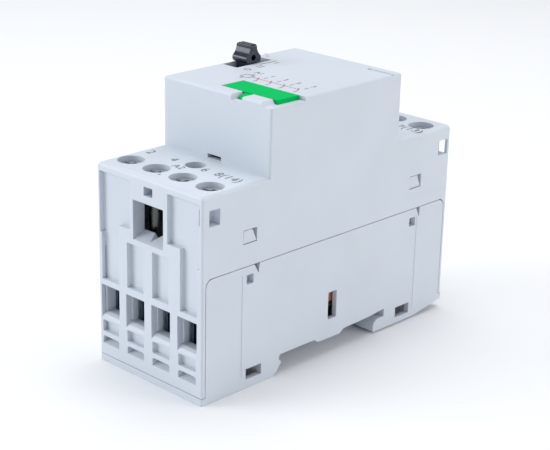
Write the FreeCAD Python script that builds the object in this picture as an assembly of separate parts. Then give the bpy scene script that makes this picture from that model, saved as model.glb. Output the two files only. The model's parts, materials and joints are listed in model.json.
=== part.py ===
"""Two-module DIN rail contactor with four poles and a manual lever.

Frame: millimetres, +Z runs from the rail side up to the lever face, X is the module width and Y the length.
The origin is the middle of the footprint, on the plane that the feet stand on.
"near" is the -Y end and "far" is the +Y end.
"""
import math
import os

import FreeCAD
import Part
from FreeCAD import Vector

# ---------------------------------------------------------------- driving dimensions
WIDTH = 35.6  # two 18 mm modules, less clearance to the neighbours
LENGTH = 86.4
SHOULDER_Z = 50.0  # terminal shoulders
TOWER_Z = 66.8  # face that shows through the panel cut-out
TOWER_LENGTH = 45.0  # standard front window of modular devices
SEAM_Z = 30.5  # joint between base and cover
ROOF_Z = 5.1  # roof of the rail recess
HOOK_Z = 3.8  # top of the fixed hook, below the rail's flange
HOOK_WALL_Y = 20.0
STRIP_Z = 1.9  # base strip under the near end panel

SIDE_WALL = 1.4
TOP_PLATE = 2.0
PANEL_WRAP = 1.0  # end panel in front of the base's side walls
PANEL_DEPTH = 3.5  # full thickness of an end panel
FLOOR_TOP = 7.2

TERMINAL_PITCH = 8.85
CONTACT_PITCH = 7.8
TERMINAL_Y = 36.7  # power screws, from the middle
COIL_TERMINAL_X = -0.3
COIL_TERMINAL_Y = 28.4

TRAVEL = 2.4  # drop of the armature
OVERTRAVEL = 0.48  # further squeeze of the contact springs
LEVER_TRAVEL = 3.0

HALF_X = WIDTH / 2
HALF_Y = LENGTH / 2
TOWER_Y = TOWER_LENGTH / 2
INNER_X = HALF_X - SIDE_WALL
WALL_END_Y = HALF_Y - PANEL_WRAP
INNER_Y = HALF_Y - PANEL_DEPTH
POLES = (1, 2, 3, 4)
ENDS = (("near", -1), ("far", 1))


def terminal_x(pole):
    return (pole - 2.5) * TERMINAL_PITCH


def contact_x(pole):
    return (pole - 2.5) * CONTACT_PITCH


# ---------------------------------------------------------------- shape helpers
def box(x0, x1, y0, y1, z0, z1):
    return Part.makeBox(x1 - x0, y1 - y0, z1 - z0, Vector(x0, y0, z0))


def block(x, y, width, length, z0, z1):
    """Box centred on x, y."""
    return box(x - width / 2, x + width / 2, y - length / 2, y + length / 2, z0, z1)


def post(x, y, z0, z1, radius):
    return Part.makeCylinder(radius, z1 - z0, Vector(x, y, z0))


def rod_x(y, z, x0, x1, radius):
    return Part.makeCylinder(radius, x1 - x0, Vector(x0, y, z), Vector(1, 0, 0))


def prism_yz(points, x0, x1):
    """Prism along X over an outline of (y, z) points."""
    wire = Part.makePolygon([Vector(x0, y, z) for y, z in points + points[:1]])
    return Part.Face(wire).extrude(Vector(x1 - x0, 0, 0))


def prism_xz(points, y0, y1):
    """Prism along Y over an outline of (x, z) points."""
    wire = Part.makePolygon([Vector(x, y0, z) for x, z in points + points[:1]])
    return Part.Face(wire).extrude(Vector(0, y1 - y0, 0))


def joined(shapes):
    whole = shapes[0]
    for shape in shapes[1:]:
        whole = whole.fuse(shape)
    return whole.removeSplitter()


def without(shape, cuts):
    for tool in cuts:
        shape = shape.cut(tool)
    return shape


def far_copy(shape):
    """Mirror image at the other end."""
    return shape.mirror(Vector(0, 0, 0), Vector(0, 1, 0))


def at_end(shape, side):
    """Shapes are drawn at the near end, where side is -1."""
    return shape if side < 0 else far_copy(shape)


def both_ends(shapes):
    return shapes + [far_copy(shape) for shape in shapes]


def rounded(shape, radius, chosen):
    """Fillet the edges whose middle satisfies the test."""
    edges = [e for e in shape.Edges if chosen(e.CenterOfMass, e)]
    return shape.makeFillet(radius, edges)


def is_upright(edge):
    box_of = edge.BoundBox
    return box_of.ZLength > 0.1 and box_of.XLength < 1e-3 and box_of.YLength < 1e-3


def coil_spring(x, y, z0, z1, radius, wire, turns):
    """Round-wire compression spring standing on z0, radius taken at the wire's middle."""
    height = z1 - z0 - wire
    helix = Part.makeLongHelix(height / turns, height, radius)
    section = Part.Wire(Part.makeCircle(wire / 2, Vector(radius, 0, 0), Vector(0, 1, 0)))
    coil = Part.Wire(helix).makePipeShell([section], True, True)
    coil.translate(Vector(x, y, z0 + wire / 2))
    return coil


def wire_run(points, radius):
    """Round wire through the points, with a ball at each bend."""
    pieces = []
    for start, end in zip(points, points[1:]):
        run = end - start
        pieces.append(Part.makeCylinder(radius, run.Length, start, run))
    for bend in points[1:-1]:
        pieces.append(Part.makeSphere(radius, bend))
    return joined(pieces)


# ---------------------------------------------------------------- housing outlines
HOOK_FOOT_Z = 0.5
FAR_STRIP_Z = 4.0
SEAM_ROUND = 2.0
SEAM_GAP = 0.18
CORNER_R = 0.5  # upright corners of the housing


def rail_side_outline(end_y):
    """Lower outline of the base from the near foot to the far end, as (y, z)."""
    return [
        (-end_y, 0.0),
        (-20.2, 0.0),
        (-18.7, 1.4),
        (-17.3, 3.1),
        (-18.3, 4.0),
        (-17.9, ROOF_Z),
        (-5.8, ROOF_Z),
        (-4.6, ROOF_Z - 0.9),
        (3.2, ROOF_Z - 1.0),
        (4.6, ROOF_Z - 0.1),
        (5.6, ROOF_Z),
        (14.0, ROOF_Z + 0.2),
        (HOOK_WALL_Y, ROOF_Z + 0.8),
        (HOOK_WALL_Y, HOOK_Z),
        (17.6, HOOK_Z - 0.1),
        (16.4, 3.1),
        (16.0, 2.2),
        (16.0, HOOK_FOOT_Z + 0.2),
        (16.4, HOOK_FOOT_Z),
        (32.0, HOOK_FOOT_Z),
        (37.8, 1.4),
        (end_y, 2.2),
    ]


def base_envelope(gap):
    """Outer form of the base: the rail-side outline below, rounded upper corners above.

    The gap is the clearance to the cover, at the top and at both ends.
    """
    top_z = SEAM_Z - gap
    end_y = WALL_END_Y - gap
    lower = rail_side_outline(end_y)
    start = lower[0]
    end = lower[-1]
    bend = SEAM_ROUND * (1 - math.sqrt(0.5))
    edges = [
        Part.LineSegment(Vector(0, y0, z0), Vector(0, y1, z1)).toShape()
        for (y0, z0), (y1, z1) in zip(lower, lower[1:])
    ]
    for side, foot in ((1, end), (-1, start)):
        outer = side * end_y
        low = Vector(0, outer, top_z - SEAM_ROUND)
        high = Vector(0, outer - side * SEAM_ROUND, top_z)
        middle = Vector(0, outer - side * bend, top_z - bend)
        edges.append(Part.LineSegment(Vector(0, *foot), low).toShape())
        edges.append(Part.Arc(low, middle, high).toShape())
    left = Vector(0, -end_y + SEAM_ROUND, top_z)
    right = Vector(0, end_y - SEAM_ROUND, top_z)
    edges.append(Part.LineSegment(left, right).toShape())
    face = Part.Face(Part.Wire(Part.__sortEdges__(edges)))
    face.translate(Vector(-HALF_X, 0, 0))
    return face.extrude(Vector(WIDTH, 0, 0))


# ---------------------------------------------------------------- base
FOOT_WALL = 1.4
LEG_END_Y = 41.0  # outer face of the leg's end wall, behind the end panel
CLIP_HALF = 8.5
GUIDE_GAP = 0.3


def base_end_strips():
    """Strips of the base that reach out under the end panels."""
    near = box(-HALF_X, HALF_X, -HALF_Y, -LEG_END_Y + 0.2, 0.0, STRIP_Z - SEAM_GAP)
    near = rounded(near, CORNER_R, lambda c, e: is_upright(e) and c.y < -HALF_Y + 0.1)
    root_y = LEG_END_Y - 0.2
    top = FAR_STRIP_Z - SEAM_GAP
    outline = [(root_y, 2.0), (HALF_Y - 0.3, 2.3), (HALF_Y, 2.8), (HALF_Y, top), (root_y, top)]
    return [near, prism_yz(outline, -HALF_X, HALF_X)]


def clip_guides():
    """Rails under the near leg that carry the clip, and the post its spring pushes against."""
    guides = []
    for side in (-1, 1):
        inner = CLIP_HALF + GUIDE_GAP
        wall = sorted((side * inner, side * (inner + 1.0)))
        lip = sorted((side * (inner - 1.3), side * (inner + 1.0)))
        guides.append(box(wall[0], wall[1], -39.6, -19.0, 0.0, ROOF_Z + 0.3))
        guides.append(box(lip[0], lip[1], -39.6, -21.0, 0.0, 0.5))
    guides.append(block(0, -33.6, 3.4, 1.2, 1.0, ROOF_Z + 0.3))
    return guides


def pole_barriers():
    """Insulating ribs between the terminals, and the wall behind them."""
    ribs = []
    for gap in (-1, 0, 1):
        ribs.append(block(gap * TERMINAL_PITCH, -32.3, 1.0, 14.4, FLOOR_TOP - 0.5, SEAM_Z - 3.0))
    ribs.append(box(-INNER_X, INNER_X, -25.6, -24.6, FLOOR_TOP - 0.5, 27.0))
    return ribs


def snap_notches(side_x):
    """Snap windows, seam wedges, leg slots and the coil slot in one side wall."""
    x0, x1 = sorted((side_x * (INNER_X - 0.2), side_x * (HALF_X + 0.2)))
    seam = SEAM_Z + 0.2
    cuts = [
        box(x0, x1, -29.4, -27.2, 26.0, 28.3),
        box(x0, x1, 28.4, 30.7, 25.8, 28.1),
        prism_yz([(-27.1, seam), (-25.2, seam), (-25.6, 27.9)], x0, x1),
        prism_yz([(30.7, seam), (32.4, seam), (32.2, 27.7)], x0, x1),
        box(x0, x1, -29.3, -24.2, 2.2, 4.9),
        box(x0, x1, 24.5, 29.9, 2.0, 4.8),
        box(x0, x1, -1.4, 1.65, 9.1, 16.2),
    ]
    groove_x = sorted((side_x * (HALF_X - 0.08), side_x * (HALF_X + 0.2)))
    for y in (-30.8, 31.3):
        cuts.append(box(*groove_x, y - 0.06, y + 0.06, 3.0, SEAM_Z - 2))
    return cuts


SNAP_WIDTH = 4.2
SNAP_Y = (-30.6, 27.8)  # near edges of the snap arms
SNAP_TOOTH_Z = (36.1, 39.1)


def snap_arms():
    """Arms inside the side walls whose teeth stand in the cover's windows, slanted on one side."""
    arms = []
    low, high = SNAP_TOOTH_Z
    for side in (-1, 1):
        arm_x = sorted((side * (INNER_X - 1.1), side * (INNER_X - 0.1)))
        root_x = sorted((side * (INNER_X - 1.1), side * (INNER_X + 0.2)))
        tooth_x = sorted((side * (INNER_X - 0.5), side * (HALF_X - 0.12)))
        for y in SNAP_Y:
            end = y + SNAP_WIDTH
            arms.append(box(*arm_x, y, end, 22.0, 40.0))
            arms.append(box(*root_x, y, end, 22.0, 25.4))
            arms.append(prism_yz([(y, low), (end, low), (end - 1.3, high), (y + 0.1, high)], *tooth_x))
    return arms


def make_base():
    shell = base_envelope(SEAM_GAP)
    cavity = box(-INNER_X, INNER_X, -LEG_END_Y, LEG_END_Y, FLOOR_TOP, SEAM_Z + 1)
    open_ends = both_ends([box(-INNER_X, INNER_X, -HALF_Y, -LEG_END_Y, STRIP_Z, SEAM_Z + 1)])
    near_leg = box(-INNER_X, INNER_X, -LEG_END_Y + FOOT_WALL, -19.5, -1, ROOF_Z + 0.3)
    far_leg = box(-INNER_X, INNER_X, HOOK_WALL_Y + 1.3, LEG_END_Y - FOOT_WALL, -1, ROOF_Z + 0.5)
    shell = without(shell, [cavity, near_leg, far_leg] + open_ends)
    ledges = [
        box(INNER_X - 1.0, INNER_X + 0.2, -21.5, 21.5, 26.4, 27.6),
        box(-INNER_X - 0.2, -INNER_X + 1.0, -21.5, 21.5, 26.4, 27.6),
    ]
    inner_walls = clip_guides() + both_ends(pole_barriers()) + ledges + snap_arms()
    body = joined([shell] + base_end_strips() + inner_walls)
    clip_gate = box(-CLIP_HALF - GUIDE_GAP, CLIP_HALF + GUIDE_GAP, -20.5, -17.0, -1, 4.3)
    clip_tail = box(-CLIP_HALF - GUIDE_GAP, CLIP_HALF + GUIDE_GAP, -LEG_END_Y + 0.2, -39.0, 0.5, 4.3)
    return without(body, [clip_gate, clip_tail] + snap_notches(1) + snap_notches(-1))


# ---------------------------------------------------------------- cover
WINDOW_SHIFT = -0.4  # wire windows sit slightly to one side of the screws
WINDOW_WIDTH = 6.4
WINDOW_Z = (12.6, 19.85)
HOLE_R = 3.25
HEAD_R = 2.85
HEAD_Z = (46.7, 48.9)
SHANK_R = 1.75
COIL_HOLE_R = 2.5
COIL_HEAD_R = 2.15
COIL_HEAD_Z = (47.5, 48.9)
COIL_SHANK_R = 1.4
RUNNING_GAP = 0.06
LEVER_X = -14.65
LEVER_Y = 2.0
LEVER_SLOT_X = -12.0  # edge of the lever slot nearest the middle
LABEL_X = (-2.0, 15.9)
LABEL_Y = (-18.6, -11.7)
LABEL_DEPTH = 1.0
CHAMBER_FLOOR_Z = 32.4
SHOULDER_R = 1.1
TOWER_R = 0.6


def cover_block():
    """Shoulders and tower with their rounded edges, solid."""
    shoulder = box(-HALF_X, HALF_X, -HALF_Y, HALF_Y, STRIP_Z, SHOULDER_Z)
    tower = box(-HALF_X, HALF_X, -TOWER_Y, TOWER_Y, SHOULDER_Z - 5, TOWER_Z)

    def shoulder_corner(c, edge):
        return is_upright(edge) and abs(c.y) > HALF_Y - 0.1

    shoulder = rounded(shoulder, CORNER_R, shoulder_corner)
    shoulder = rounded(shoulder, SHOULDER_R, lambda c, e: c.z > SHOULDER_Z - 0.1)
    tower = rounded(tower, CORNER_R, lambda c, e: is_upright(e))
    tower = rounded(tower, TOWER_R, lambda c, e: c.z > TOWER_Z - 0.1)
    return joined([shoulder, tower])


def end_face_recesses():
    """Shallow panels, boxes and pockets in the near end face."""
    face = -HALF_Y
    top, step, bottom = 48.0, 36.2, 21.3
    left = [(-17.0, top), (-6.4, top), (-6.4, step), (-10.4, step), (-10.4, bottom), (-16.5, bottom)]
    left += [(-16.5, 33.0), (-17.0, 33.0)]
    right = [(6.4, top), (16.9, top), (16.9, 33.0), (16.1, 33.0), (16.1, bottom), (10.6, bottom)]
    right += [(10.6, step), (6.4, step)]
    cuts = [
        prism_xz(left, face - 1, face + 1.2),
        prism_xz(right, face - 1, face + 1.2),
        box(-7.5, -1.9, face - 1, face + 1.3, 21.6, 32.8),
        box(1.2, 6.7, face - 1, face + 1.3, 21.6, 32.8),
    ]
    slot = [(face - 1, 4.3), (face, 4.7), (face + 2.4, 5.6), (face + 2.4, 6.7), (face - 1, 6.7)]
    for pole in POLES:
        x = terminal_x(pole) + WINDOW_SHIFT
        recess = block(x, face, 5.8, 2.4, 7.9, 10.8)
        cuts.append(rounded(recess, 0.4, lambda c, e: e.BoundBox.YLength > 1))
        pocket = prism_yz(slot, x - 2.9, x + 2.9)
        cuts.append(rounded(pocket, 0.6, lambda c, e: e.BoundBox.YLength > 3 and c.z > 6.5))
    return cuts


def wire_windows():
    """Funnelled windows for the power wires and the coil wire, in the near end panel."""
    face = -HALF_Y
    back = face + 4
    cuts = []
    low, high = WINDOW_Z
    for pole in POLES:
        x = terminal_x(pole) + WINDOW_SHIFT
        outer = WINDOW_WIDTH / 2
        inner = outer - 0.25
        cuts.append(box(x - outer, x + outer, face - 1, face + 1.8, low, high))
        cuts.append(box(x - inner, x + inner, face + 1, back, low, high))
        sill = [(face - 1, low - 2.6), (face + 0.5, low - 0.5), (face + 1.3, low + 0.01)]
        sill.append((face - 1, low + 0.01))
        cuts.append(prism_yz(sill, x - outer, x + outer))
    left, right = -5.25, 5.0
    sill_z = 35.9
    cuts.append(box(left, right, face - 1, back, sill_z, 43.8))
    sill = [(face - 1, 33.8), (face, 34.2), (back, sill_z + 0.2), (face - 1, sill_z + 0.2)]
    cuts.append(prism_yz(sill, left, right))
    cuts.append(prism_xz([(-2.2, 36.6), (COIL_TERMINAL_X, 34.6), (1.6, 36.6)], face + 0.8, back))
    cuts.append(box(-1.5, 1.45, face - 1, back, 45.7, 47.8))
    return cuts


def screw_holes():
    """Stepped holes over the near screws: wide for the head, narrow for the shank."""
    cuts = []
    for pole in POLES:
        x = terminal_x(pole)
        cuts.append(post(x, -TERMINAL_Y, HEAD_Z[0] - RUNNING_GAP, SHOULDER_Z + 1, HOLE_R))
        cuts.append(post(x, -TERMINAL_Y, 40, SHOULDER_Z, SHANK_R + RUNNING_GAP))
    coil_at = (COIL_TERMINAL_X, -COIL_TERMINAL_Y)
    cuts.append(post(*coil_at, COIL_HEAD_Z[0] - RUNNING_GAP, SHOULDER_Z + 1, COIL_HOLE_R))
    cuts.append(post(*coil_at, 40, SHOULDER_Z, COIL_SHANK_R + RUNNING_GAP))
    cuts.append(post(-0.7, -39.2, SHOULDER_Z - 0.5, SHOULDER_Z + 1, 0.45))
    return cuts


def screw_sleeves():
    """Bosses under the near shoulder that carry the screw heads."""
    sleeves = [post(terminal_x(pole), -TERMINAL_Y, 44.9, SHOULDER_Z - 1, HOLE_R + 0.8) for pole in POLES]
    sleeves.append(post(COIL_TERMINAL_X, -COIL_TERMINAL_Y, 46.6, SHOULDER_Z - 1, COIL_HOLE_R + 0.9))
    return sleeves


def upper_snap_windows(side_x):
    """Windows in the cover's side wall for the teeth of the base's snap arms."""
    x0, x1 = sorted((side_x * (INNER_X - 0.2), side_x * (HALF_X + 0.2)))
    low, high = SNAP_TOOTH_Z
    return [box(x0, x1, y - 0.1, y + SNAP_WIDTH + 0.1, low - 0.2, high + 0.2) for y in SNAP_Y]


LOOP_X = 15.4
LOOP_Z = (42.6, 46.4)
LOOP_SPANS = ((-1, 37.9, 41.2), (1, 38.6, 42.2))


def loop_slots():
    """L-shaped slots behind the two corner posts of the +X side."""
    cuts = []
    for side, inner, outer in LOOP_SPANS:
        mouth = sorted((side * inner, side * outer))
        passage = sorted((side * inner, side * (HALF_Y + 1)))
        cuts.append(box(LOOP_X, HALF_X + 1, *mouth, *LOOP_Z))
        cuts.append(box(LOOP_X, LOOP_X + 1.6, *passage, *LOOP_Z))
    return cuts


def loop_backs():
    """Blocks that close the loop slots off from the terminal room."""
    low, high = LOOP_Z
    blocks = []
    for side, inner, outer in LOOP_SPANS:
        reach = sorted((side * (inner - 0.8), side * outer))
        blocks.append(box(LOOP_X - 0.7, INNER_X + 0.2, *reach, low - 0.8, high + 0.2))
    return blocks


def tower_cuts():
    """Lever slot, label recess and finger notch, indicator slot and the groove at the far edge."""
    recess_z = TOWER_Z - LABEL_DEPTH
    front = -TOWER_Y - 1
    notch = [(5.2, 65.5), (8.2, 65.5), (8.9, TOWER_Z + 1), (4.7, TOWER_Z + 1)]
    corner = [(14.3, TOWER_Z + 0.2), (15.3, recess_z), (HALF_X + 1, recess_z), (HALF_X + 1, TOWER_Z + 0.2)]
    return [
        box(-17.0, LEVER_SLOT_X, -4.1, 8.1, TOWER_Z - 3, TOWER_Z + 1),
        box(LABEL_X[0] - 0.2, HALF_X + 1, LABEL_Y[0] - 0.2, LABEL_Y[1] + 0.2, recess_z - 0.02, TOWER_Z + 1),
        prism_xz(notch, front, LABEL_Y[0]),
        prism_xz(corner, front, LABEL_Y[0]),
        box(-2.6, 1.9, front, -TOWER_Y + 3, 50.1, 51.1),
        box(9.6, 17.6, 18.9, 19.9, TOWER_Z - 0.5, TOWER_Z + 1),
    ]


def lever_rails():
    """Rib inside the tower that the lever's slide runs along, with its lower lip."""
    return [
        box(-12.3, -11.3, -11.5, 15.5, 60.2, TOWER_Z - 1),
        box(-13.3, -11.3, -11.5, 15.5, 60.2, 61.2),
        box(-INNER_X - 0.2, -15.8, -11.5, 15.5, 60.2, 61.2),
    ]


def make_cover():
    body = cover_block()
    body = body.cut(base_envelope(0.0))
    body = body.cut(box(-HALF_X - 1, HALF_X + 1, LEG_END_Y, HALF_Y + 1, 0, FAR_STRIP_Z))
    body = body.cut(box(-HALF_X - 1, HALF_X + 1, -LEG_END_Y, LEG_END_Y, 0, SEAM_Z))
    gap = 0.1
    plug_low = box(-INNER_X + gap, INNER_X - gap, -WALL_END_Y, -LEG_END_Y, STRIP_Z, FLOOR_TOP)
    plug_low_far = box(-INNER_X + gap, INNER_X - gap, LEG_END_Y, WALL_END_Y, FAR_STRIP_Z, FLOOR_TOP)
    plug_high = box(-INNER_X + gap, INNER_X - gap, -WALL_END_Y, -INNER_Y, FLOOR_TOP, SEAM_Z + 1)
    body = joined([body, plug_low, plug_low_far] + both_ends([plug_high]))
    shoulder_room = box(-INNER_X, INNER_X, -INNER_Y, INNER_Y, SEAM_Z - 1, SHOULDER_Z - TOP_PLATE)
    tower_room = box(-INNER_X, INNER_X, -TOWER_Y + 1.5, TOWER_Y - 1.5, SHOULDER_Z - 3, TOWER_Z - 2.2)
    body = without(body, [shoulder_room, tower_room])
    coil_floor = box(-14.9, 14.9, -INNER_Y - 0.2, -24.8, CHAMBER_FLOOR_Z, CHAMBER_FLOOR_Z + 1.2)
    shank_passes = [post(terminal_x(pole), -TERMINAL_Y, 30, 35, SHANK_R + 0.4) for pole in POLES]
    coil_floor = without(coil_floor, shank_passes)
    additions = both_ends(screw_sleeves() + [coil_floor]) + lever_rails() + loop_backs()
    cuts = both_ends(end_face_recesses() + wire_windows() + screw_holes())
    cuts += tower_cuts() + loop_slots()
    body = without(body, upper_snap_windows(1) + upper_snap_windows(-1))
    return without(joined([body] + additions), cuts)


# ---------------------------------------------------------------- magnet and coil
CORE_HALF_X = 6.3
CORE_HALF_Y = 14.0
POLE_LEG = 3.8  # outer legs of the core, along Y
CENTRE_HALF = 3.9
DAMPER_Z = (FLOOR_TOP, 8.0)
CORE_BACK_Z = 11.2
POLE_FACE_Z = 21.4
ARMATURE_Z = (POLE_FACE_Z + TRAVEL + 0.1, 27.2)
BOBBIN_Z = (11.4, 20.3)
FLANGE = 0.7
BOBBIN_HALF = (16.0, 9.9)
WINDING_HALF = (15.6, 9.4)
TUBE_WALL = 0.7
WINDING_R = 2.4
TAPE_Z = (12.7, 18.6)


def ring(outer, inner, z0, z1, radius):
    """Rounded rectangular ring round the centre leg; outer and inner are half sizes in X, Y."""
    body = block(0, 0, 2 * outer[0], 2 * outer[1], z0, z1)
    body = rounded(body, radius, lambda c, e: is_upright(e))
    return body.cut(block(0, 0, 2 * inner[0], 2 * inner[1], z0 - 1, z1 + 1))


def make_core_damper():
    pads = [block(0, side * 9.5, 11.0, 6.0, *DAMPER_Z) for side in (-1, 1)]
    return Part.makeCompound(pads)


def make_fixed_core():
    back = block(0, 0, 2 * CORE_HALF_X, 2 * CORE_HALF_Y, DAMPER_Z[1], CORE_BACK_Z)
    centre = block(0, 0, 2 * CORE_HALF_X, 2 * CENTRE_HALF, CORE_BACK_Z - 0.5, POLE_FACE_Z - 0.15)
    outer_y = CORE_HALF_Y - POLE_LEG / 2
    legs = [block(0, s * outer_y, 2 * CORE_HALF_X, POLE_LEG, CORE_BACK_Z - 0.5, POLE_FACE_Z) for s in (-1, 1)]
    body = joined([back, centre] + legs)
    grooves = [block(0, s * (outer_y + 0.4), 20, 0.8, POLE_FACE_Z - 1.0, POLE_FACE_Z + 1) for s in (-1, 1)]
    rivets = [rod_x(y, 9.6, -8, 8, 0.9) for y in (-10.0, 10.0)]
    return without(body, grooves + rivets)


def make_shading_rings():
    """Copper rings set in the outer pole faces."""
    rings = []
    for side in (-1, 1):
        y = side * (CORE_HALF_Y - POLE_LEG / 2 + 0.4)
        near_bar = block(0, y, 2 * CORE_HALF_X + 1.6, 0.8, POLE_FACE_Z - 1.0, POLE_FACE_Z - 0.1)
        outside = block(0, y + side * 1.9, 2 * CORE_HALF_X + 1.6, 0.8, POLE_FACE_Z - 1.0, POLE_FACE_Z - 0.1)
        ties = []
        for tie_side in (-1, 1):
            x = tie_side * (CORE_HALF_X + 0.4)
            ties.append(block(x, y + side * 0.95, 0.8, 1.9, POLE_FACE_Z - 1.0, POLE_FACE_Z - 0.1))
        rings.append(joined([near_bar, outside] + ties))
    return Part.makeCompound(rings)


def make_core_rivets():
    reach = CORE_HALF_X + 0.5
    return Part.makeCompound([rod_x(y, 9.6, -reach, reach, 0.9) for y in (-10.0, 10.0)])


def make_coil_bobbin():
    hole = (CORE_HALF_X + 0.2, CENTRE_HALF + 0.2)
    tube = (hole[0] + TUBE_WALL, hole[1] + TUBE_WALL)
    low, high = BOBBIN_Z
    parts = [
        ring(BOBBIN_HALF, hole, low, low + FLANGE, 1.0),
        ring(BOBBIN_HALF, hole, high - FLANGE, high, 1.0),
        ring(tube, hole, low, high, 0.6),
    ]
    seats = [post(side * 11.5, 0, high, high + 0.6, 0.9) for side in (-1, 1)]
    return joined(parts + seats)


def make_coil_winding():
    inner = (CORE_HALF_X + 0.2 + TUBE_WALL, CENTRE_HALF + 0.2 + TUBE_WALL)
    return ring(WINDING_HALF, inner, BOBBIN_Z[0] + FLANGE, BOBBIN_Z[1] - FLANGE, WINDING_R)


def make_coil_tape():
    tape = 0.2
    outer = (WINDING_HALF[0] + tape, WINDING_HALF[1] + tape)
    body = block(0, 0, 2 * outer[0], 2 * outer[1], *TAPE_Z)
    body = rounded(body, WINDING_R + tape, lambda c, e: is_upright(e))
    inside = block(0, 0, 2 * WINDING_HALF[0], 2 * WINDING_HALF[1], TAPE_Z[0] - 1, TAPE_Z[1] + 1)
    inside = rounded(inside, WINDING_R, lambda c, e: is_upright(e))
    return body.cut(inside)


def make_coil_leads():
    """Wires from the coil terminals down to the bobbin."""
    lead = wire_run(
        [
            Vector(COIL_TERMINAL_X, -23.25, 32.0),
            Vector(COIL_TERMINAL_X, -23.25, 23.5),
            Vector(9.4, -16.5, 20.9),
            Vector(9.4, -8.8, 20.65),
        ],
        0.35,
    )
    return Part.makeCompound([lead, far_copy(lead)])


def make_partition_plate():
    plate = block(0, 0, 2 * INNER_X - 0.4, 42.6, 27.6, 28.6)
    slot = block(0, 0, 31.2, 7.4, 27, 30)
    return plate.cut(slot)


# ---------------------------------------------------------------- moving contact system
BAR_Z = (29.6, 30.6)
BAR_WIDTH = 4.6
TIP_Y = 8.6
TIP_R = 1.8
FIXED_TIP_Z = 31.4
BRIDGE_TIP = 0.8
CONTACT_GAP = TRAVEL - OVERTRAVEL + 0.02
BRIDGE_Z = FIXED_TIP_Z + CONTACT_GAP + BRIDGE_TIP
BRIDGE_THICK = 1.0
BRIDGE_WIDTH = 4.2
CARRIER_HALF_X = 15.3
CARRIER_HALF_Y = 3.3
CARRIER_Z = (29.4, 43.0)
POCKET_TOP = BRIDGE_Z + BRIDGE_THICK + 6.0
POCKET_WIDTH = 5.0
RETURN_SPRING_X = 11.5


def make_contact_carrier():
    body = block(0, 0, 2 * CARRIER_HALF_X, 2 * CARRIER_HALF_Y, *CARRIER_Z)
    for pole in POLES:
        body = body.cut(block(contact_x(pole), 0, POCKET_WIDTH, 20, BRIDGE_Z, POCKET_TOP))
    stem = block(0, 0, 2 * CORE_HALF_X + 3.2, 2 * CARRIER_HALF_Y, ARMATURE_Z[1], CARRIER_Z[0] + 0.5)
    cheeks = [
        block(side * (CORE_HALF_X + 0.9), 0, 1.4, 2 * CARRIER_HALF_Y, 24.0, CARRIER_Z[0]) for side in (-1, 1)
    ]
    flag = box(-2.2, 1.5, -TOWER_Y + 2.0, -CARRIER_HALF_Y + 1, 49.4, 51.6)
    mast = box(-2.2, 1.5, -CARRIER_HALF_Y, CARRIER_HALF_Y, CARRIER_Z[1] - 0.5, 51.6)
    follower = box(LEVER_X - 0.6, LEVER_X + 1.6, -1.4, CARRIER_HALF_Y, CARRIER_Z[1] - 0.5, 47.5)
    body = joined([body, stem, flag, mast, follower] + cheeks)
    spring_seats = [post(side * RETURN_SPRING_X, 0, 28.8, CARRIER_Z[0] + 0.1, 0.9) for side in (-1, 1)]
    body = joined([body] + spring_seats)
    return body.cut(rod_x(0, 25.6, -9, 9, 1.0))


def make_armature():
    plate = block(0, 0, 2 * CORE_HALF_X, 2 * CORE_HALF_Y, *ARMATURE_Z)
    plate = rounded(plate, 0.8, lambda c, e: abs(c.z - ARMATURE_Z[1]) < 0.01 and abs(c.y) > CORE_HALF_Y - 0.1)
    return plate.cut(rod_x(0, 25.6, -9, 9, 1.0))


def make_armature_pin():
    return rod_x(0, 25.6, -CORE_HALF_X - 1.5, CORE_HALF_X + 1.5, 1.0)


def make_return_springs():
    low = BOBBIN_Z[1]
    springs = [coil_spring(s * RETURN_SPRING_X, 0, low, CARRIER_Z[0], 1.7, 0.45, 5) for s in (-1, 1)]
    return Part.makeCompound(springs)


def make_contact_bridge(pole):
    """Bridge plate with a silver tip under each end."""
    x = contact_x(pole)
    plate = block(x, 0, BRIDGE_WIDTH, 21.2, BRIDGE_Z, BRIDGE_Z + BRIDGE_THICK)
    plate = rounded(plate, 1.2, lambda c, e: abs(c.y) > 10.5 and e.BoundBox.ZLength > 0.5)
    tips = [post(x, s * TIP_Y, BRIDGE_Z - BRIDGE_TIP, BRIDGE_Z, TIP_R) for s in (-1, 1)]
    return Part.makeCompound([plate] + tips)


def make_contact_spring(pole):
    low = BRIDGE_Z + BRIDGE_THICK
    return coil_spring(contact_x(pole), 0, low, POCKET_TOP, 1.5, 0.5, 4)


def make_fixed_tips():
    tips = []
    for pole in POLES:
        for side in (-1, 1):
            tips.append(post(contact_x(pole), side * TIP_Y, BAR_Z[1], FIXED_TIP_Z, TIP_R))
    return Part.makeCompound(tips)


# ---------------------------------------------------------------- power terminals
CLAMP_BAR_Z = (20.0, 21.0)
RISER_Y = -30.4
CLAMP_HALF_X = 2.9
CLAMP_LENGTH = 5.6
CLAMP_SIDE = 0.7
CLAMP_Z = (10.6, 25.0)
CLAMP_BOTTOM = 1.2
CLAMP_TOP = 2.3


def make_contact_bar(pole, side):
    """Copper bar from the clamp, up behind the terminal and in to the fixed contact tip."""
    x_out = terminal_x(pole)
    x_in = contact_x(pole)
    half = BAR_WIDTH / 2
    inner_half = 2.2
    low_run = box(x_out - 1.9, x_out + 1.9, -39.2, RISER_Y + 1.0, *CLAMP_BAR_Z)
    left = min(x_out - 1.9, x_in - inner_half)
    right = max(x_out + 1.9, x_in + inner_half)
    riser = box(left, right, RISER_Y, RISER_Y + 1.0, CLAMP_BAR_Z[0], BAR_Z[1])
    high_run = box(x_in - inner_half, x_in + inner_half, RISER_Y, -TIP_Y + half, *BAR_Z)
    return at_end(joined([low_run, riser, high_run]), side)


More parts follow.
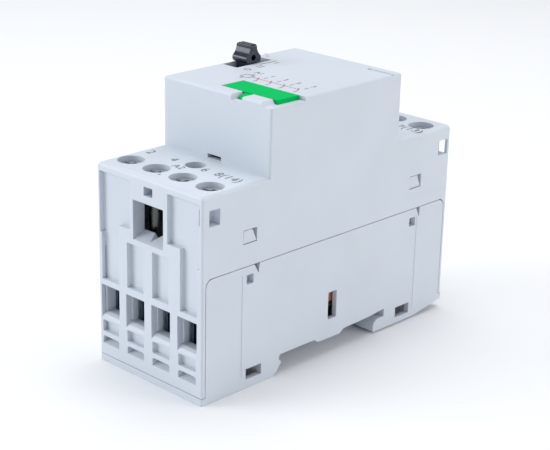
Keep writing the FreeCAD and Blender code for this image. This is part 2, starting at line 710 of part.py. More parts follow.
def make_clamp(x, y, half_x, length, z_range, bottom, top, bore):
    """Rising box clamp: a rectangular tube with a threaded top."""
    low, high = z_range
    body = block(x, y, 2 * half_x, length, low, high)
    body = rounded(body, 0.5, lambda c, e: abs(c.x - x) > half_x - 0.1 and e.BoundBox.YLength > 1)
    room = block(x, y, 2 * (half_x - CLAMP_SIDE), length + 2, low + bottom, high - top)
    return without(body, [room, post(x, y, low + bottom, high + 1, bore)])


def make_terminal_clamp(pole, side):
    x = terminal_x(pole)
    bore = SHANK_R + RUNNING_GAP
    clamp = make_clamp(x, -TERMINAL_Y, CLAMP_HALF_X, CLAMP_LENGTH, CLAMP_Z, CLAMP_BOTTOM, CLAMP_TOP, bore)
    return at_end(clamp, side)


def make_screw(x, y, head, head_r, shank_r, tip_z, recess):
    """Cheese-head screw with a cross recess and a slot."""
    top = head[1]
    body = joined([post(x, y, head[0], top, head_r), post(x, y, tip_z, head[0] + 0.5, shank_r)])
    body = rounded(body, 0.3, lambda c, e: abs(c.z - top) < 0.01)
    slot = block(x, y, 2 * head_r + 1, recess, top - 1.0, top + 1)
    cross = block(x, y, recess, 2 * head_r * 0.62, top - 1.3, top + 1)
    return without(body, [slot, cross])


def make_terminal_screw(pole, side):
    tip_z = CLAMP_BAR_Z[1] + 0.05
    screw = make_screw(terminal_x(pole), -TERMINAL_Y, HEAD_Z, HEAD_R, SHANK_R, tip_z, 0.9)
    return at_end(screw, side)


# ---------------------------------------------------------------- coil terminals
COIL_BAR_Z = (40.2, 41.0)
COIL_CLAMP_HALF_X = 2.9
COIL_CLAMP_LENGTH = 5.2
COIL_CLAMP_Z = (34.6, 43.4)


def make_coil_terminal(side):
    """Thin plate inside the coil clamp, bent down to its lead."""
    x = COIL_TERMINAL_X
    run = box(x - 1.9, x + 1.9, -30.8, -23.6, *COIL_BAR_Z)
    drop = box(x - 0.7, x + 0.7, -24.3, -23.6, 31.0, COIL_BAR_Z[1])
    return at_end(joined([run, drop]), side)


def make_coil_clamp(side):
    coil_at = (COIL_TERMINAL_X, -COIL_TERMINAL_Y)
    bore = COIL_SHANK_R + RUNNING_GAP
    clamp = make_clamp(*coil_at, COIL_CLAMP_HALF_X, COIL_CLAMP_LENGTH, COIL_CLAMP_Z, 0.9, 1.5, bore)
    return at_end(clamp, side)


def make_coil_screw(side):
    coil_at = (COIL_TERMINAL_X, -COIL_TERMINAL_Y)
    tip_z = COIL_BAR_Z[1] + 0.05
    screw = make_screw(*coil_at, COIL_HEAD_Z, COIL_HEAD_R, COIL_SHANK_R, tip_z, 0.7)
    return at_end(screw, side)


# ---------------------------------------------------------------- lever, label and rail clip
KNOB_X = (-17.25, -12.35)
KNOB_HEIGHT = 4.7
KNOB_GAP = 0.1


def arc_yz(start, middle, end):
    """Arc through three (y, z) points."""
    return Part.Arc(*[Vector(0, y, z) for y, z in (start, middle, end)]).toShape()


def knob_face():
    """Knob seen along X: narrow top, hollow flanks, wide bulge, waist at the slot."""
    top = TOWER_Z + KNOB_HEIGHT
    edges = []
    for side in (-1, 1):

        def at(y, drop):
            return (LEVER_Y + side * y, top - drop)

        edges.append(arc_yz(at(0.7, 0), at(0.95, 0.1), at(1.05, 0.35)))
        edges.append(arc_yz(at(1.05, 0.35), at(1.35, 1.7), at(2.2, 2.8)))
        edges.append(arc_yz(at(2.2, 2.8), at(2.5, 3.6), at(1.7, KNOB_HEIGHT - KNOB_GAP)))
    for half, z in ((0.7, top), (1.7, TOWER_Z + KNOB_GAP)):
        edges.append(Part.LineSegment(Vector(0, LEVER_Y - half, z), Vector(0, LEVER_Y + half, z)).toShape())
    return Part.Face(Part.Wire(Part.__sortEdges__(edges)))


def make_manual_lever():
    """Black knob, its neck through the slot, the slide under the tower's roof and the cam finger."""
    knob = knob_face().extrude(Vector(KNOB_X[1] - KNOB_X[0], 0, 0))
    knob.translate(Vector(KNOB_X[0], 0, 0))
    top = TOWER_Z + KNOB_HEIGHT
    envelope = box(*KNOB_X, LEVER_Y - 5, LEVER_Y + 5, TOWER_Z, top)
    envelope = rounded(envelope, 0.6, lambda c, e: c.z > top - 0.01 and e.BoundBox.YLength > 1)
    knob = knob.common(envelope)
    eye = rod_x(LEVER_Y, TOWER_Z + 1.4, KNOB_X[1] - 1.5, KNOB_X[1] + 1, 0.75)
    knob = knob.cut(eye)
    neck = block(LEVER_X, LEVER_Y, 3.4, 3.4, TOWER_Z - 2.6, TOWER_Z + 0.6)
    slide = block(LEVER_X, LEVER_Y, 2.9, 17.0, 61.4, 64.3)
    slide = slide.fuse(block(LEVER_X, LEVER_Y, 2.0, 5.0, 50.0, 62.0))
    side_x = LEVER_X + 1.45
    notches = []
    for step in (-1, 0, 1):
        y = LEVER_Y + step * LEVER_TRAVEL
        corners = [(side_x + 0.1, y - 0.8), (side_x + 0.1, y + 0.8), (side_x - 0.6, y)]
        wire = Part.makePolygon([Vector(*corner, 61) for corner in corners + corners[:1]])
        notches.append(Part.Face(wire).extrude(Vector(0, 0, 4)))
    return joined([knob, neck, without(slide, notches)])


def make_detent_spring():
    """Leaf spring beside the slide, with a bump that drops into its notches."""
    x = LEVER_X + 1.95
    leaf = box(x, x + 0.3, LEVER_Y - 7.0, LEVER_Y + 7.0, 61.9, 63.9)
    bump = Part.makeCylinder(0.8, 2.0, Vector(x, LEVER_Y, 61.9), Vector(0, 0, 1), 180)
    bump.rotate(Vector(x, LEVER_Y, 0), Vector(0, 0, 1), 90)
    return joined([leaf, bump])


def make_label_plate():
    """Green marking plate with a finger tab and two snap legs."""
    plate = box(LABEL_X[0], LABEL_X[1], LABEL_Y[0], LABEL_Y[1], TOWER_Z - LABEL_DEPTH, TOWER_Z + 0.05)
    plate = rounded(plate, 0.2, lambda c, e: c.z > TOWER_Z)
    root = LABEL_Y[0] + 0.5
    tab = prism_yz([(root, 66.6), (-20.2, 66.1), (-20.9, 65.6), (root, 65.85)], 5.4, 8.0)
    return joined([plate, tab])


CLIP_Z = (0.65, 3.6)
CLIP_NOSE_Y = -13.8


def make_rail_clip():
    """Slide with a sloped nose, a spring pocket and a screwdriver slot in its tail."""
    low, high = CLIP_Z
    outline = [(-38.6, low), (-16.2, low), (CLIP_NOSE_Y, 2.6), (CLIP_NOSE_Y, high), (-38.6, high)]
    body = prism_yz(outline, -CLIP_HALF, CLIP_HALF)
    pocket = box(-2.1, 2.1, -34.4, -24.0, low - 1, high + 1)
    driver_slot = box(-2.6, 2.6, -37.6, -36.2, low - 1, high + 1)
    return without(body, [pocket, driver_slot])


def make_clip_spring():
    spring = coil_spring(0, 0, 0, 8.9, 1.15, 0.35, 7)
    spring.rotate(Vector(0, 0, 0), Vector(1, 0, 0), -90)
    spring.translate(Vector(0, -32.95, 2.1))
    return spring


# ---------------------------------------------------------------- all nodes
def all_nodes():
    nodes = {
        "base": make_base(),
        "cover": make_cover(),
        "partition_plate": make_partition_plate(),
        "core_damper": make_core_damper(),
        "fixed_core": make_fixed_core(),
        "core_rivets": make_core_rivets(),
        "shading_rings": make_shading_rings(),
        "coil_bobbin": make_coil_bobbin(),
        "coil_winding": make_coil_winding(),
        "coil_tape": make_coil_tape(),
        "coil_leads": make_coil_leads(),
        "armature": make_armature(),
        "armature_pin": make_armature_pin(),
        "contact_carrier": make_contact_carrier(),
        "return_springs": make_return_springs(),
        "fixed_contact_tips": make_fixed_tips(),
        "manual_lever": make_manual_lever(),
        "lever_detent_spring": make_detent_spring(),
        "label_plate": make_label_plate(),
        "rail_clip": make_rail_clip(),
        "rail_clip_spring": make_clip_spring(),
    }
    for pole in POLES:
        nodes[f"contact_bridge_{pole}"] = make_contact_bridge(pole)
        nodes[f"contact_spring_{pole}"] = make_contact_spring(pole)
        for end, side in ENDS:
            nodes[f"{end}_contact_bar_{pole}"] = make_contact_bar(pole, side)
            nodes[f"{end}_terminal_clamp_{pole}"] = make_terminal_clamp(pole, side)
            nodes[f"{end}_terminal_screw_{pole}"] = make_terminal_screw(pole, side)
    for end, side in ENDS:
        nodes[f"{end}_coil_terminal"] = make_coil_terminal(side)
        nodes[f"{end}_coil_clamp"] = make_coil_clamp(side)
        nodes[f"{end}_coil_screw"] = make_coil_screw(side)
    return nodes


def main():
    os.makedirs("parts", exist_ok=True)
    for name, shape in sorted(all_nodes().items()):
        print(f"{name}: {len(shape.Solids)} solid(s), {shape.Volume:.1f} mm3, valid {shape.isValid()}")
        shape.exportStep(os.path.join("parts", name + ".step"))


main()
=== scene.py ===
"""Looks of the DIN rail contactor: materials, printed marks, camera and light. Metres, +Z up."""
import json
import math

import bmesh
import bpy
from mathutils import Matrix, Vector

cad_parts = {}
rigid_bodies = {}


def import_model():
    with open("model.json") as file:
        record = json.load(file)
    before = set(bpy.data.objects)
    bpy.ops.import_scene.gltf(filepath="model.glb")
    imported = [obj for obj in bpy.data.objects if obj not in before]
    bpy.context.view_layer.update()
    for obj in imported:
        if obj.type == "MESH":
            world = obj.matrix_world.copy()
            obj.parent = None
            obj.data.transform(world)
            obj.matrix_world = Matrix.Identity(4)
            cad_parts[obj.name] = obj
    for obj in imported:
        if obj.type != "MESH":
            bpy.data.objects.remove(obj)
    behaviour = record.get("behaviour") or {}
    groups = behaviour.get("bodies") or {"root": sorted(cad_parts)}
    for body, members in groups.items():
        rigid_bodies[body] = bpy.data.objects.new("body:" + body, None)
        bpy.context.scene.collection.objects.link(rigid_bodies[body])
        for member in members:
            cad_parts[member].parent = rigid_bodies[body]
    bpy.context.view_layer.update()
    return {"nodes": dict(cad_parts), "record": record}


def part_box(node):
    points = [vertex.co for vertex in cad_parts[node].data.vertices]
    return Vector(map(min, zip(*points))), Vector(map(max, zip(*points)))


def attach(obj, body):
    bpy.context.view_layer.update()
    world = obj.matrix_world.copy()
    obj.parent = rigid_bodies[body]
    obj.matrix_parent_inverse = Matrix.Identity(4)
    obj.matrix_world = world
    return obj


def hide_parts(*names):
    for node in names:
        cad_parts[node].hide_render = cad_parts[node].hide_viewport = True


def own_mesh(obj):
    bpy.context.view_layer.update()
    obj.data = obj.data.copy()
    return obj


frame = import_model()
NODES = frame["nodes"]
MM = 0.001

# ---------------------------------------------------------------- places taken from the frame
SCREW_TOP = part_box("near_terminal_screw_1")[1].z
SCREW_NECK = SCREW_TOP - 2.2 * MM  # where the screw's head ends
SHOULDER_TOP = SCREW_TOP + 1.1 * MM
TOWER_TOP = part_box("cover")[1].z

# ---------------------------------------------------------------- printing
INK_LIFT = 0.012 * MM
INK_THICK = 0.01 * MM
NUMBER_SIZE = 3.6 * MM


# ---------------------------------------------------------------- node helpers
BAND_RATE = 20.0  # radians of phase that the wave texture gives one unit at scale 1


class Recipe:
    """A principled material under construction."""

    def __init__(self, name, colour, roughness, metallic=0.0):
        self.material = bpy.data.materials.new(name)
        self.material.use_nodes = True
        self.tree = self.material.node_tree
        self.shader = self.tree.nodes["Principled BSDF"]
        self.set("Base Color", (*colour, 1.0))
        self.set("Roughness", roughness)
        self.set("Metallic", metallic)
        self.place = self.add("ShaderNodeTexCoord").outputs["Object"]
        self.normal = None

    def add(self, kind, **settings):
        node = self.tree.nodes.new(kind)
        for key, value in settings.items():
            setattr(node, key, value)
        return node

    def set(self, socket, value):
        self.shader.inputs[socket].default_value = value

    def link(self, source, target):
        self.tree.links.new(source, target)

    def noise(self, scale, detail=3.0, stretch=(1, 1, 1)):
        mapping = self.add("ShaderNodeMapping")
        mapping.inputs["Scale"].default_value = stretch
        noise = self.add("ShaderNodeTexNoise")
        noise.inputs["Scale"].default_value = scale
        noise.inputs["Detail"].default_value = detail
        self.link(self.place, mapping.inputs["Vector"])
        self.link(mapping.outputs["Vector"], noise.inputs["Vector"])
        return noise.outputs["Fac"]

    def wave(self, period, direction, distortion=0.0):
        """Bands that repeat every period, in metres, along one axis."""
        wave = self.add("ShaderNodeTexWave", bands_direction=direction)
        wave.inputs["Scale"].default_value = math.tau / (BAND_RATE * period)
        wave.inputs["Distortion"].default_value = distortion
        self.link(self.place, wave.inputs["Vector"])
        return wave.outputs["Fac"]

    def span(self, value, low, high, start=0.0, end=1.0):
        """Remaps value from start..end to low..high."""
        node = self.add("ShaderNodeMapRange")
        for socket, number in (("From Min", start), ("From Max", end), ("To Min", low), ("To Max", high)):
            node.inputs[socket].default_value = number
        self.link(value, node.inputs["Value"])
        return node.outputs["Result"]

    def mix(self, factor, low, high):
        """Colour between low and high; each is a colour or a socket."""
        node = self.add("ShaderNodeMix", data_type="RGBA")
        colour_inputs = [s for s in node.inputs if s.type == "RGBA"]
        self.link(factor, node.inputs["Factor"])
        for socket, colour in zip(colour_inputs, (low, high)):
            if isinstance(colour, bpy.types.NodeSocket):
                self.link(colour, socket)
            else:
                socket.default_value = (*colour, 1.0)
        return [s for s in node.outputs if s.type == "RGBA"][0]

    def edges(self, radius):
        """Mask of the edges: how far a softened normal leans from the true one, as a cosine."""
        leaning, flat = 0.72, 0.995
        bevel = self.add("ShaderNodeBevel", samples=6)
        bevel.inputs["Radius"].default_value = radius
        true = self.add("ShaderNodeNewGeometry").outputs["Normal"]
        dot = self.add("ShaderNodeVectorMath", operation="DOT_PRODUCT")
        self.link(bevel.outputs["Normal"], dot.inputs[0])
        self.link(true, dot.inputs[1])
        return self.span(dot.outputs["Value"], 1.0, 0.0, leaning, flat)

    def soften(self, radius):
        """Rounds the shading of sharp edges."""
        bevel = self.add("ShaderNodeBevel", samples=6)
        bevel.inputs["Radius"].default_value = radius
        self.normal = bevel.outputs["Normal"]

    def bump(self, height, depth, strength=1.0):
        node = self.add("ShaderNodeBump")
        node.inputs["Distance"].default_value = depth
        node.inputs["Strength"].default_value = strength
        self.link(height, node.inputs["Height"])
        if self.normal:
            self.link(self.normal, node.inputs["Normal"])
        self.normal = node.outputs["Normal"]

    def done(self, colour=None, roughness=None):
        if colour:
            self.link(colour, self.shader.inputs["Base Color"])
        if roughness:
            self.link(roughness, self.shader.inputs["Roughness"])
        if self.normal:
            self.link(self.normal, self.shader.inputs["Normal"])
        return self.material


def shade(colour, factor):
    return tuple(min(1.0, channel * factor) for channel in colour)


# ---------------------------------------------------------------- materials
SHEET_PERIOD = 0.987 * MM
WIRE_PERIOD = 0.4935 * MM


def moulded_plastic(
    name, colour, roughness=0.38, grain=0.22, rounding=0.22, depth=0.003, variation=0.02, shine=0.45
):
    """Spark-textured moulded plastic; grain, rounding and depth are in millimetres."""
    r = Recipe(name, colour, roughness)
    cloud = r.noise(55.0, 2.0)
    speck = r.noise(1.0 / (grain * MM), 2.0)
    dark = shade(colour, 1 - variation)
    light = shade(colour, 1 + variation)
    tone = r.mix(r.span(cloud, 0.0, 1.0, 0.3, 0.7), dark, light)
    # Painted highlight: edges made lighter, for the light that the rounded moulding edges catch.
    painted_edge_shading = r.mix(r.span(r.edges(0.3 * MM), 0.0, 0.8), tone, shade(colour, 1.18))
    r.soften(rounding * MM)
    r.bump(speck, depth * MM)
    r.set("Specular IOR Level", shine)
    return r.done(painted_edge_shading, r.span(speck, roughness - 0.06, roughness + 0.08))


def glossy_plastic(name, colour, roughness=0.2):
    r = Recipe(name, colour, roughness)
    cloud = r.noise(400.0, 3.0)
    scuffs = r.noise(900.0, 4.0, (1, 1, 0.15))
    # Painted highlight: edges of the dark lever made much lighter, for the light its glossy rounded edges
    # catch.
    painted_edge_shading = r.mix(r.span(r.edges(0.3 * MM), 0.0, 0.5), colour, shade(colour, 3.0))
    r.soften(0.2 * MM)
    r.bump(cloud, 0.006 * MM)
    r.set("Coat Weight", 0.1)
    r.set("Coat Roughness", 0.1)
    return r.done(painted_edge_shading, r.span(scuffs, roughness - 0.05, roughness + 0.16, 0.3, 0.7))


def bright_metal(name, colour, roughness=0.28, brushed="Z", tarnish=0.2):
    """Plated or stamped metal with fine drawing lines and a little tarnish."""
    r = Recipe(name, colour, roughness, metallic=1.0)
    stretch = {"X": (0.04, 1, 1), "Y": (1, 0.04, 1), "Z": (1, 1, 0.04)}[brushed]
    lines = r.noise(9000.0, 2.0, stretch)
    cloud = r.noise(350.0, 4.0)
    stain = r.span(cloud, 0.0, tarnish, 0.35, 0.75)
    tone = r.mix(stain, colour, shade(colour, 0.45))
    # Painted highlight: metal edges made lighter, for the light caught by their rounded edges.
    painted_edge_shading = r.mix(r.span(r.edges(0.15 * MM), 0.0, 0.5), tone, shade(colour, 1.25))
    r.soften(0.08 * MM)
    r.bump(lines, 0.0015 * MM)
    return r.done(painted_edge_shading, r.span(cloud, roughness - 0.08, roughness + 0.12, 0.3, 0.7))


def plated_screw(name, head, shaded_shank):
    """Zinc-plated screw: a bright head over a shank painted dark, as shade where it sits inside the
    terminal.
    """
    r = Recipe(name, head, 0.3, metallic=1.0)
    height = r.add("ShaderNodeSeparateXYZ")
    r.link(r.place, height.inputs[0])
    along = r.span(height.outputs["Z"], 0.0, 1.0, SCREW_NECK - 0.4 * MM, SCREW_NECK + 0.2 * MM)
    cloud = r.noise(500.0, 4.0)
    # Painted shade: below the head's neck the screw takes the dark shank colour, for the shade inside the
    # terminal.
    tone = r.mix(along, shaded_shank, head)
    stained = r.mix(r.span(cloud, 0.0, 0.3, 0.4, 0.8), tone, shade(shaded_shank, 2.0))
    # Painted shade: edges of the screw made a little darker.
    painted_edge_shading = r.mix(r.span(r.edges(0.15 * MM), 0.0, 0.5), stained, shade(head, 0.9))
    r.soften(0.08 * MM)
    r.bump(cloud, 0.004 * MM)
    return r.done(painted_edge_shading, r.span(cloud, 0.2, 0.42, 0.3, 0.7))


def laminated_steel(name, colour):
    """Stacked core sheets across X."""
    r = Recipe(name, colour, 0.45, metallic=0.9)
    sheets = r.wave(SHEET_PERIOD, "X")
    rust = r.noise(260.0, 4.0)
    tone = r.mix(r.span(sheets, 0.0, 1.0), shade(colour, 0.6), colour)
    stained = r.mix(r.span(rust, 0.0, 0.35, 0.55, 0.8), tone, (0.16, 0.08, 0.04))
    r.bump(sheets, 0.03 * MM)
    return r.done(stained, r.span(rust, 0.36, 0.6))


def wound_wire(name, colour):
    """Layers of enamelled wire, turns stacked along Z."""
    r = Recipe(name, colour, 0.3, metallic=0.6)
    turns = r.wave(WIRE_PERIOD, "Z", 0.4)
    cloud = r.noise(500.0, 3.0)
    tone = r.mix(r.span(turns, 0.0, 1.0), shade(colour, 0.35), colour)
    r.bump(turns, 0.08 * MM)
    uneven = r.mix(r.span(cloud, 0.0, 0.4), tone, shade(colour, 0.6))
    return r.done(uneven, r.span(cloud, 0.22, 0.45))


def wrapped_tape(name, colour):
    r = Recipe(name, colour, 0.35)
    folds = r.noise(700.0, 3.0, (1, 1, 0.2))
    tone = r.mix(r.span(folds, 0.0, 1.0, 0.3, 0.7), shade(colour, 0.75), shade(colour, 1.15))
    r.bump(folds, 0.03 * MM)
    r.set("Coat Weight", 0.3)
    return r.done(tone, r.span(folds, 0.28, 0.5))


def soft_rubber(name, colour):
    r = Recipe(name, colour, 0.8)
    grain = r.noise(2500.0, 3.0)
    tone = r.mix(r.span(grain, 0.0, 1.0), shade(colour, 0.8), shade(colour, 1.5))
    r.bump(grain, 0.02 * MM)
    return r.done(tone, r.span(grain, 0.7, 0.9))


def printed_ink(name, colour):
    r = Recipe(name, colour, 0.5)
    wear = r.noise(5000.0, 3.0)
    tone = r.mix(r.span(wear, 0.0, 0.6, 0.5, 0.85), colour, shade(colour, 2.5))
    return r.done(tone, r.span(wear, 0.42, 0.6))


def floor_paper(name, colour):
    r = Recipe(name, colour, 0.9)
    fibre = r.noise(900.0, 3.0)
    r.bump(fibre, 0.01 * MM)
    tone = r.mix(r.span(fibre, 0.0, 1.0), shade(colour, 0.995), colour)
    return r.done(tone, r.span(fibre, 0.85, 0.95))


MATERIALS = {
    "housing_plastic": moulded_plastic("housing_plastic", (0.645, 0.69, 0.755)),
    "partition_plastic": moulded_plastic("partition_plastic", (0.50, 0.51, 0.50)),
    "clip_plastic": moulded_plastic("clip_plastic", (0.30, 0.31, 0.28)),
    "carrier_plastic": moulded_plastic("carrier_plastic", (0.16, 0.022, 0.018), roughness=0.35),
    "bobbin_plastic": moulded_plastic("bobbin_plastic", (0.05, 0.035, 0.028)),
    "label_plastic": moulded_plastic(
        "label_plastic", (0.0, 0.50, 0.115), roughness=0.6, variation=0.05, shine=0.04
    ),
    "lever_plastic": glossy_plastic("lever_plastic", (0.009, 0.015, 0.034), roughness=0.17),
    "rubber": soft_rubber("rubber", (0.02, 0.02, 0.02)),
    "core_steel": laminated_steel("core_steel", (0.30, 0.31, 0.33)),
    "pin_steel": bright_metal("pin_steel", (0.60, 0.61, 0.63), brushed="X"),
    "spring_steel": bright_metal("spring_steel", (0.55, 0.56, 0.58), roughness=0.22),
    "copper": bright_metal("copper", (0.72, 0.33, 0.18)),
    "silver": bright_metal("silver", (0.82, 0.82, 0.80), roughness=0.34),
    "bridge_brass": bright_metal("bridge_brass", (0.66, 0.44, 0.18), brushed="Y"),
    "bar_brass": bright_metal("bar_brass", (0.68, 0.46, 0.18), brushed="Y"),
    # clamp_steel: dark blue plating, given a still darker colour as painted shade inside the terminal
    # windows.
    "clamp_steel": bright_metal("clamp_steel", (0.10, 0.17, 0.22), roughness=0.4, brushed="Y"),
    "screw_steel": plated_screw("screw_steel", (0.66, 0.68, 0.71), (0.10, 0.11, 0.10)),
    "enamelled_wire": wound_wire("enamelled_wire", (0.40, 0.13, 0.05)),
    "insulating_tape": wrapped_tape("insulating_tape", (0.62, 0.30, 0.15)),
    "lead_insulation": soft_rubber("lead_insulation", (0.45, 0.03, 0.02)),
}
BLACK_INK = printed_ink("black_ink", (0.10, 0.11, 0.13))
RED_INK = printed_ink("red_ink", (0.45, 0.12, 0.12))


def dress_cad_nodes():
    for entry in frame["record"]["subparts"]:
        node = NODES[entry["node"]]
        node.data.materials.clear()
        node.data.materials.append(MATERIALS[entry["material_slot"]])


# ---------------------------------------------------------------- springs
def pressed_springs():
    """Copies of the coil springs, each on its joint's parent body, with the originals hidden.

    The lever's leaf spring is left out: its joint moves both ways and doesn't press it along its length.
    """
    for joint in frame["record"]["behaviour"]["joints"]:
        if joint["type"] != "slide" or joint["range_m"][0] < 0:
            continue
        for entry in joint.get("deforming_nodes", []):
            name = entry["node"]
            coils = bpy.data.objects.new(f"{name}_coils", NODES[name].data.copy())
            bpy.context.scene.collection.objects.link(coils)
            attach(coils, joint["parent"])
            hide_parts(name)
            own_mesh(coils)


# ---------------------------------------------------------------- pointer pip
def pointer_pip():
    """Small raised wedge behind the lever slot."""
    low_z = TOWER_TOP - 0.1 * MM
    high_z = TOWER_TOP + 0.9 * MM
    left, right = -16.2 * MM, -14.6 * MM
    front, ridge, back = 8.5 * MM, 9.6 * MM, 10.0 * MM
    inset = 0.3 * MM
    corners = ((left, front), (right, front), (right, back), (left, back))
    bm = bmesh.new()
    foot = [bm.verts.new((x, y, low_z)) for x, y in corners]
    crest = [bm.verts.new((x, ridge, high_z)) for x in (left + inset, right - inset)]
    bm.faces.new(reversed(foot))
    bm.faces.new((foot[0], foot[1], crest[1], crest[0]))
    bm.faces.new((foot[2], foot[3], crest[0], crest[1]))
    bm.faces.new((foot[1], foot[2], crest[1]))
    bm.faces.new((foot[3], foot[0], crest[0]))
    mesh = bpy.data.meshes.new("pointer_pip")
    bm.to_mesh(mesh)
    bm.free()
    pip = bpy.data.objects.new("pointer_pip", mesh)
    bpy.context.scene.collection.objects.link(pip)
    pip.data.materials.append(MATERIALS["housing_plastic"])
    bevel = pip.modifiers.new("edges", "BEVEL")
    bevel.width = 0.12 * MM
    bevel.segments = 2
    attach(pip, "housing")


# ---------------------------------------------------------------- printed marks
def printed_piece(name, mesh, material):
    piece = bpy.data.objects.new(name, mesh)
    bpy.context.scene.collection.objects.link(piece)
    piece.data.materials.append(material)
    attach(piece, "housing")


def written(name, text, x, y, z, size, width=1.0):
    """Flat lettering centred on x, y and lying in the plane z, stretched by width along X."""
    curve = bpy.data.curves.new(name, "FONT")
    curve.body = text
    curve.size = size
    curve.extrude = INK_THICK
    curve.align_x = "CENTER"
    curve.align_y = "CENTER"
    curve.space_character = 1.05
    holder = bpy.data.objects.new(name, curve)
    bpy.context.scene.collection.objects.link(holder)
    bpy.context.view_layer.update()
    mesh = bpy.data.meshes.new_from_object(holder)
    bpy.data.objects.remove(holder)
    mesh.transform(Matrix.Translation((x, y, z + INK_LIFT)) @ Matrix.Diagonal((width, 1, 1, 1)))
    printed_piece(name, mesh, BLACK_INK)


def stroke(bm, start, end, width, z):
    """Adds a flat printed line between two points in the plane z."""
    a = Vector((*start, z + INK_LIFT))
    b = Vector((*end, z + INK_LIFT))
    along = (b - a).normalized()
    side = Vector((-along.y, along.x, 0)) * width / 2
    low = [bm.verts.new(p) for p in (a - side, b - side, b + side, a + side)]
    high = [bm.verts.new(v.co + Vector((0, 0, INK_THICK))) for v in low]
    bm.faces.new(reversed(low))
    bm.faces.new(high)
    for i in range(4):
        j = (i + 1) % 4
        bm.faces.new((low[i], low[j], high[j], high[i]))


def strokes(name, lines, width, z, material):
    bm = bmesh.new()
    for start, end in lines:
        stroke(bm, start, end, width, z)
    mesh = bpy.data.meshes.new(name)
    bm.to_mesh(mesh)
    bm.free()
    printed_piece(name, mesh, material)


def mm_lines(lines):
    return [((x0 * MM, y0 * MM), (x1 * MM, y1 * MM)) for x0, y0, x1, y1 in lines]


def terminal_marks():
    """Terminal numbers on both shoulders."""
    near_y, far_y = -29.4 * MM, 31.9 * MM
    far_shift = 2.0
    numbers = (("2", "1", -14.7), ("4", "3", -6.6), ("6", "5", 3.9), ("8(14)", "7(13)", 11.5))
    for near, far, x in numbers:
        written(f"mark_near_{near[0]}", near, x * MM, near_y, SHOULDER_TOP, NUMBER_SIZE)
        written(f"mark_far_{far[0]}", far, (x + far_shift) * MM, far_y, SHOULDER_TOP, NUMBER_SIZE)
    coil_x = -1.9 * MM
    coil_size = 0.8 * NUMBER_SIZE
    written("mark_near_coil", "A2", coil_x, -32.3 * MM, SHOULDER_TOP, coil_size)
    written("mark_far_coil", "A1", coil_x, 32.6 * MM, SHOULDER_TOP, coil_size)


def lever_marks():
    """Off and on marks beside the lever slot, with pointer lines."""
    x = -9.1 * MM
    size = 2.4 * MM
    widening = 1.1
    written("mark_lever_off", "O", x, -3.4 * MM, TOWER_TOP, size, widening)
    written("mark_lever_on", "I", x, 6.6 * MM, TOWER_TOP, size, widening)
    lines = [(-9.9, 0.4, -8.1, 0.4), (-9.9, 1.6, -8.1, 1.6), (-10.6, 2.6, -10.6, 8.2)]
    strokes("mark_lever_lines", mm_lines(lines), 0.3 * MM, TOWER_TOP, BLACK_INK)


def wiring_diagram():
    """Generic circuit symbol: a coil and four open contacts, with their terminal numbers.

    Places are in millimetres; each line is x, y of its start and x, y of its end.
    """
    line_low, line_high = -10.6, -5.4
    box_low, box_high = -9.2, -6.8
    gap_low, gap_high = -9.2, -6.9
    number_y = -3.9 * MM
    number_size = 2.2 * MM
    line_width = 0.24 * MM
    coil_x, coil_half = -4.4, 1.3
    left, right = coil_x - coil_half, coil_x + coil_half
    black = [(coil_x, line_low, coil_x, box_low), (coil_x, box_high, coil_x, line_high)]
    black += [(left, box_low, right, box_low), (left, box_high, right, box_high)]
    black += [(left, box_low, left, box_high), (right, box_low, right, box_high)]
    link_y, link_end = -8.0, 12.4
    red = [(right, link_y, link_end, link_y)]
    blade_lean, blade_top = 1.5, -7.0
    for text, x in (("1", 0.0), ("3", 4.2), ("5", 8.4), ("7", 13.0)):
        black += [(x, line_low, x, gap_low), (x, gap_high, x, line_high)]
        red.append((x, gap_low, x - blade_lean, blade_top))
        written(f"diagram_number_{text}", text, x * MM, number_y, TOWER_TOP, number_size)
    written("diagram_number_coil", "A1", coil_x * MM, number_y, TOWER_TOP, number_size)
    strokes("diagram_lines", mm_lines(black), line_width, TOWER_TOP, BLACK_INK)
    strokes("diagram_contacts", mm_lines(red), line_width, TOWER_TOP, RED_INK)


# ---------------------------------------------------------------- camera, floor and light
CAMERA_PLACE = Vector((236.60, -248.74, 152.03)) * MM
CAMERA_AZIMUTH = math.radians(43.80)
CAMERA_ELEVATION = math.radians(19.79)
CAMERA_ROLL = math.radians(1.29)
CAMERA_LENS = 96.6  # on a 36 mm sensor


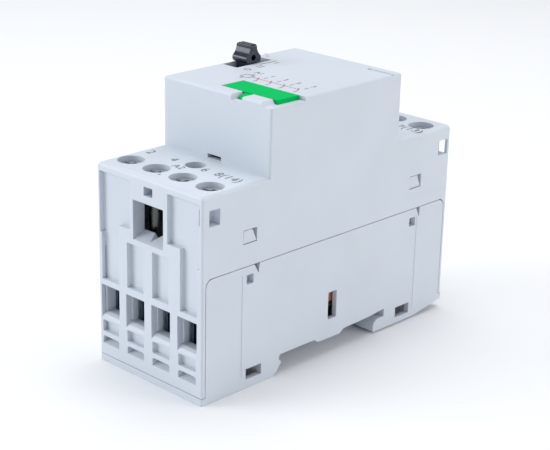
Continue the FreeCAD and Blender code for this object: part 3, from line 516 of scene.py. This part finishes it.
def make_camera():
    across, rise = math.cos(CAMERA_ELEVATION), math.sin(CAMERA_ELEVATION)
    right = Vector((math.cos(CAMERA_AZIMUTH), math.sin(CAMERA_AZIMUTH), 0))
    back = Vector((right.y * across, -right.x * across, rise))
    up = back.cross(right)
    turn = Matrix((right, up, back)).transposed() @ Matrix.Rotation(CAMERA_ROLL, 3, "Z")
    data = bpy.data.cameras.new("camera")
    data.lens = CAMERA_LENS
    data.clip_start = 0.01
    camera = bpy.data.objects.new("camera", data)
    camera.matrix_world = Matrix.Translation(CAMERA_PLACE) @ turn.to_4x4()
    bpy.context.scene.collection.objects.link(camera)
    bpy.context.scene.camera = camera


def area_light(name, place, target, size, power, colour=(1, 1, 1)):
    data = bpy.data.lights.new(name, "AREA")
    data.size = size
    data.energy = power
    data.color = colour
    lamp = bpy.data.objects.new(name, data)
    lamp.location = place
    lamp.rotation_euler = (Vector(target) - Vector(place)).to_track_quat("-Z", "Y").to_euler()
    bpy.context.scene.collection.objects.link(lamp)


def make_floor():
    reach = 4.0
    drop = 0.02 * MM  # keeps the floor clear of the feet
    bm = bmesh.new()
    corners = [(-reach, -reach), (reach, -reach), (reach, reach), (-reach, reach)]
    bm.faces.new([bm.verts.new((x, y, 0.0)) for x, y in corners])
    mesh = bpy.data.meshes.new("floor")
    bm.to_mesh(mesh)
    bm.free()
    floor = bpy.data.objects.new("floor", mesh)
    floor.location.z = -drop
    floor.data.materials.append(floor_paper("floor_paper", (0.92, 0.92, 0.93)))
    bpy.context.scene.collection.objects.link(floor)


def make_light():
    """Soft boxes at the left and the far right, one overhead, and an even fill."""
    world = bpy.data.worlds.new("studio")
    world.use_nodes = True
    background = world.node_tree.nodes["Background"]
    background.inputs["Color"].default_value = (0.90, 0.95, 1.0, 1.0)
    background.inputs["Strength"].default_value = 0.47
    bpy.context.scene.world = world
    middle = (0, 0, 0.03)
    area_light("overhead", (-0.1, 0.1, 0.8), middle, 0.7, 4.0)
    area_light("left_box", (-0.55, -0.65, 0.35), middle, 0.5, 3.7, (0.94, 0.97, 1.0))
    area_light("right_box", (0.75, 0.45, 0.3), middle, 0.5, 2.3, (1.0, 0.99, 0.97))


bpy.context.scene.view_settings.view_transform = "Standard"
dress_cad_nodes()
pressed_springs()
pointer_pip()
terminal_marks()
lever_marks()
wiring_diagram()
make_camera()
make_floor()
make_light()
